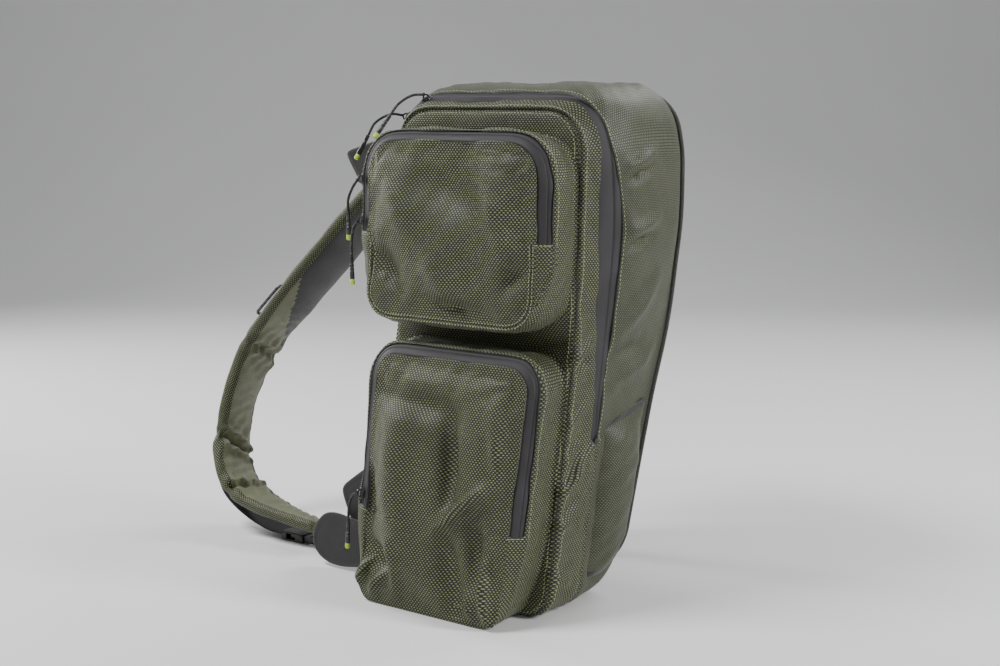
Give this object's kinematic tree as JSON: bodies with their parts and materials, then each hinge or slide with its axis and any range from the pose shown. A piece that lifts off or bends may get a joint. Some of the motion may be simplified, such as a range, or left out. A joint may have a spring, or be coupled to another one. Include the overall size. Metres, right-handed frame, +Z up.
{
  "type": "fishing rucksack",
  "caption": "Soft fishing rucksack with a wraparound main zip, zipped pockets on its front, a side pocket, a padded back and padded shoulder straps with a buckle.",
  "frame": {"origin": "middle of the flat base, on the surface that the rucksack stands on", "axes": "+Z up, -Y towards the front pockets, +Y towards the padded back, -X towards the strap that is spread out"},
  "size_m": [0.5275, 0.342, 0.49],
  "materials": {
    "weave": "coarse woven nylon in dark olive",
    "coated_tape": "smooth coated zip tape, dark grey",
    "webbing": "black webbing and binding",
    "moulded": "black moulded plastic",
    "slider": "dark painted metal"
  },
  "bodies": {
    "root": {"main_shell": "weave", "main_zip": "coated_tape", "upper_pocket": "weave", "upper_pocket_zip": "coated_tape", "lower_pocket": "weave", "lower_pocket_zip": "coated_tape", "side_pocket": "weave", "back_panel": "webbing", "back_piping": "webbing", "strap_left": "weave", "strap_right": "weave", "strap_ring": "moulded", "webbing_high": "webbing", "webbing_low": "webbing", "webbing_right": "webbing", "buckle_socket": "moulded", "buckle_tongue": "moulded", "wing_top": "webbing", "wing_low": "webbing", "tab_round": "webbing", "main_pull_a_slider": "slider", "main_pull_a_cord": "webbing", "main_pull_a_grip": "moulded", "main_pull_b_slider": "slider", "main_pull_b_cord": "webbing", "main_pull_b_grip": "moulded", "upper_pull_a_slider": "slider", "upper_pull_a_cord": "webbing", "upper_pull_a_grip": "moulded", "upper_pull_b_slider": "slider", "upper_pull_b_cord": "webbing", "upper_pull_b_grip": "moulded", "lower_pull_a_slider": "slider", "lower_pull_a_cord": "webbing", "lower_pull_a_grip": "moulded"}
  },
  "joints": []
}
